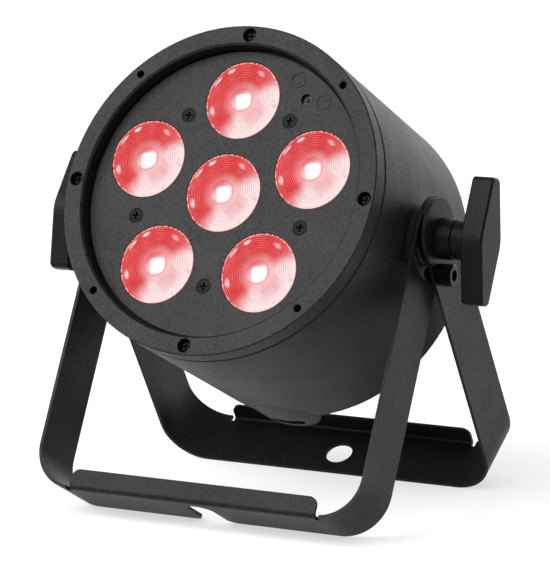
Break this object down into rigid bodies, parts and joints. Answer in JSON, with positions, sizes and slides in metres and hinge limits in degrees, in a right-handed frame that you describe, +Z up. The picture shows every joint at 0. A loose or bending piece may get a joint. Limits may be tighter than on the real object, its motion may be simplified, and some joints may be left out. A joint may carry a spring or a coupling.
{
  "type": "par can light",
  "caption": "Compact stage par light: short round head with a ring of lenses, hung by clamp knobs between two folding brackets that stand on the floor.",
  "frame": {"origin": "on the floor, under the middle of the whole light's box", "axes": "+X to the right along the tilt axis, +Y towards the back, +Z up; the face looks towards -Y and up"},
  "size_m": [0.2186, 0.1686, 0.2189],
  "materials": {
    "black_powder_coat": "fine satin texture powder coat",
    "bracket_coat": "fine textured powder coat",
    "black_steel": "black zinc",
    "gasket_rubber": "matte",
    "black_plastic": "fine moulded texture",
    "white_plastic": "smooth moulded",
    "blue_plastic": "smooth moulded",
    "lens_plastic": "clear, lit red",
    "emitter": "domed",
    "board_white": "solder mask",
    "board_green": "solder mask",
    "bare_aluminium": "extruded",
    "plated_steel": "zinc plated",
    "insert_brass": "turned",
    "dark_component": "moulded",
    "window_plastic": "smoked clear",
    "button_plastic": "rubbery"
  },
  "bodies": {
    "stand": {"rear_bracket": "bracket_coat", "stop_bolts": "black_steel", "stop_bolt_washers": "black_steel", "stop_nuts": "black_steel", "arm_washers": "black_plastic"},
    "front_leg": {"front_bracket": "bracket_coat"},
    "head": {"bezel_gasket": "gasket_rubber", "bezel_ring": "black_powder_coat", "bezel_screws": "black_steel", "boss_washers": "black_plastic", "button_switches": "dark_component", "control_board": "board_green", "display_module": "black_plastic", "display_window": "window_plastic", "dmx_inlet": "black_plastic", "dmx_inlet_pins": "insert_brass", "dmx_outlet": "black_plastic", "dmx_outlet_core": "black_plastic", "front_panel": "black_powder_coat", "fuse_holder": "black_plastic", "heat_sink": "bare_aluminium", "heat_sink_screws": "plated_steel", "ir_receiver": "dark_component", "led_board": "board_white", "leds": "emitter", "lens_1": "lens_plastic", "lens_2": "lens_plastic", "lens_3": "lens_plastic", "lens_4": "lens_plastic", "lens_5": "lens_plastic", "lens_6": "lens_plastic", "lens_holder": "white_plastic", "panel_screws": "black_steel", "panel_standoffs": "plated_steel", "pivot_inserts": "insert_brass", "power_contacts": "insert_brass", "power_inlet": "blue_plastic", "power_outlet": "white_plastic", "rear_panel": "black_powder_coat", "rear_panel_screws": "black_steel", "safety_eye": "black_powder_coat", "shell": "black_powder_coat", "socket_screws": "black_steel", "supply_board": "board_green", "supply_capacitors": "dark_component", "supply_pillars": "plated_steel", "supply_screws": "plated_steel", "supply_transformer": "dark_component"},
    "clamp_right": {"clamp_sleeve_right": "black_plastic"},
    "hand_knob_right": {"knob_right": "black_plastic", "knob_stud_right": "plated_steel"},
    "clamp_left": {"clamp_sleeve_left": "black_plastic"},
    "hand_knob_left": {"knob_left": "black_plastic", "knob_stud_left": "plated_steel"},
    "menu_button_1": {"menu_button_1": "button_plastic"},
    "menu_button_2": {"menu_button_2": "button_plastic"},
    "menu_button_3": {"menu_button_3": "button_plastic"},
    "menu_button_4": {"menu_button_4": "button_plastic"}
  },
  "joints": [
    {"name": "head_tilt", "type": "hinge", "parent": "stand", "child": "head", "pos_m": [0, -0.00381, 0.12728], "axis": [1, 0, 0], "continuous": true},
    {"name": "front_leg_fold", "type": "hinge", "parent": "stand", "child": "front_leg", "pos_m": [0, -0.00381, 0.12728], "axis": [1, 0, 0], "range_deg": [0, 58.5]},
    {"name": "clamp_slide_right", "type": "slide", "parent": "head", "child": "clamp_right", "axis": [1, 0, 0], "range_m": [0, 0.0025]},
    {"name": "knob_turn_right", "type": "hinge", "parent": "clamp_right", "child": "hand_knob_right", "pos_m": [0.1, -0.00381, 0.12728], "axis": [1, 0, 0], "range_deg": [0, 720]},
    {"name": "clamp_slide_left", "type": "slide", "parent": "head", "child": "clamp_left", "axis": [-1, 0, 0], "range_m": [0, 0.0025]},
    {"name": "knob_turn_left", "type": "hinge", "parent": "clamp_left", "child": "hand_knob_left", "pos_m": [-0.1, -0.00381, 0.12728], "axis": [-1, 0, 0], "range_deg": [0, 720]},
    {"name": "menu_button_1_press", "type": "slide", "parent": "head", "child": "menu_button_1", "axis": [0, -0.9056, 0.4242], "range_m": [0, 0.0008], "stiffness_N_per_m": 1500, "springref_m": -0.0004},
    {"name": "menu_button_2_press", "type": "slide", "parent": "head", "child": "menu_button_2", "axis": [0, -0.9056, 0.4242], "range_m": [0, 0.0008], "stiffness_N_per_m": 1500, "springref_m": -0.0004},
    {"name": "menu_button_3_press", "type": "slide", "parent": "head", "child": "menu_button_3", "axis": [0, -0.9056, 0.4242], "range_m": [0, 0.0008], "stiffness_N_per_m": 1500, "springref_m": -0.0004},
    {"name": "menu_button_4_press", "type": "slide", "parent": "head", "child": "menu_button_4", "axis": [0, -0.9056, 0.4242], "range_m": [0, 0.0008], "stiffness_N_per_m": 1500, "springref_m": -0.0004}
  ],
  "couplings": [
    {"joint": "knob_turn_right", "follows": "clamp_slide_right", "rad_per_m": 5026.5},
    {"joint": "knob_turn_left", "follows": "clamp_slide_left", "rad_per_m": 5026.5}
  ]
}
